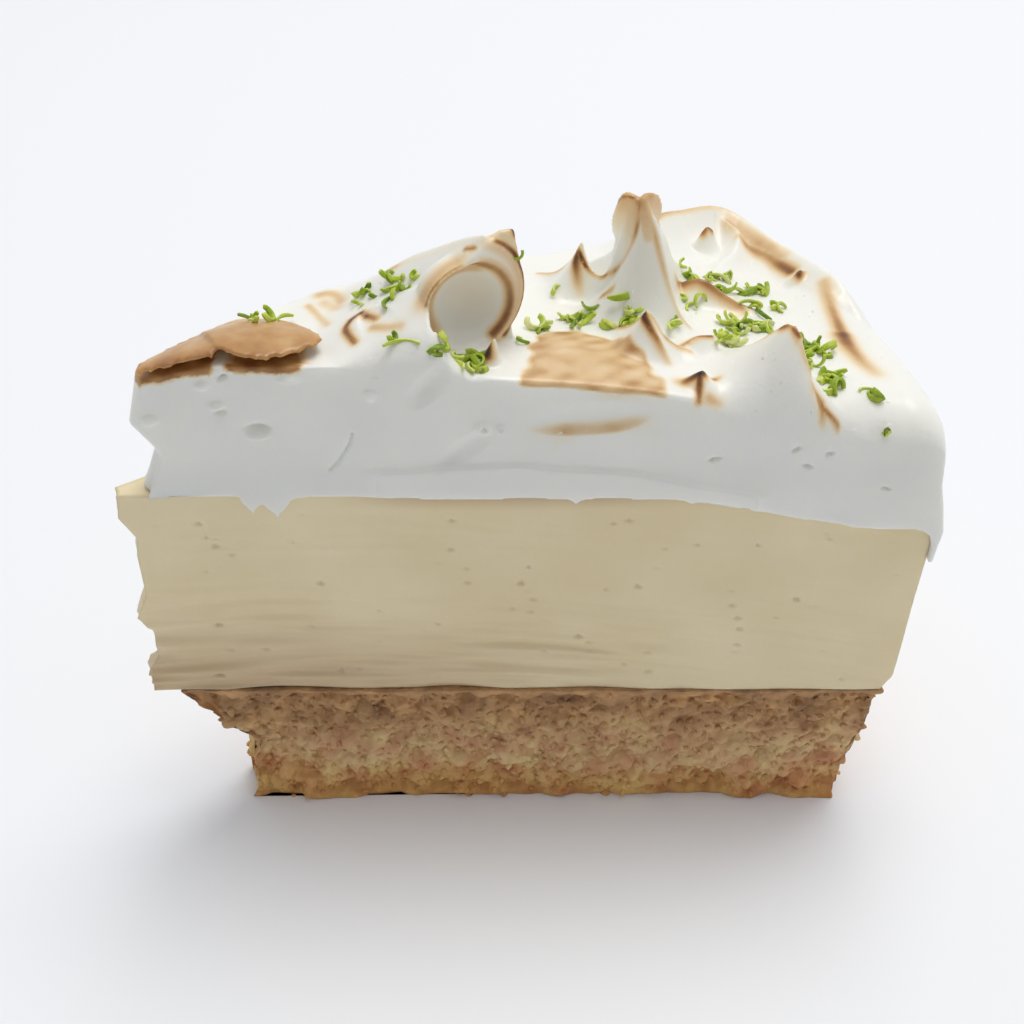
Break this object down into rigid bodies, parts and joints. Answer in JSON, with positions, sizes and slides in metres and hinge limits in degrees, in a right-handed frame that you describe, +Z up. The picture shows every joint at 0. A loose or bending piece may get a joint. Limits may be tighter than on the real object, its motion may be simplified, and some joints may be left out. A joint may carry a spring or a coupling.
{
  "type": "lemon meringue pie slice",
  "caption": "Wedge of lemon meringue pie: thick biscuit base, tall pale lemon filling and pulled, toasted meringue scattered with lime zest.",
  "frame": {"origin": "middle of the slice's box on the plane of its underside", "axes": "+X from the tip to the rim along the front cut face, +Y away from the front cut face, +Z up"},
  "size_m": [0.1315, 0.0779, 0.1121],
  "materials": {
    "baked_biscuit": "matt, crumbly, golden brown above and paler below",
    "lemon_cream": "moist, pitted, pale beige yellow",
    "toasted_meringue": "glossy white foam, toasted tan and brown on its crests, with green zest"
  },
  "bodies": {
    "root": {"biscuit_base": "baked_biscuit", "lemon_filling": "lemon_cream", "meringue": "toasted_meringue"}
  },
  "joints": []
}
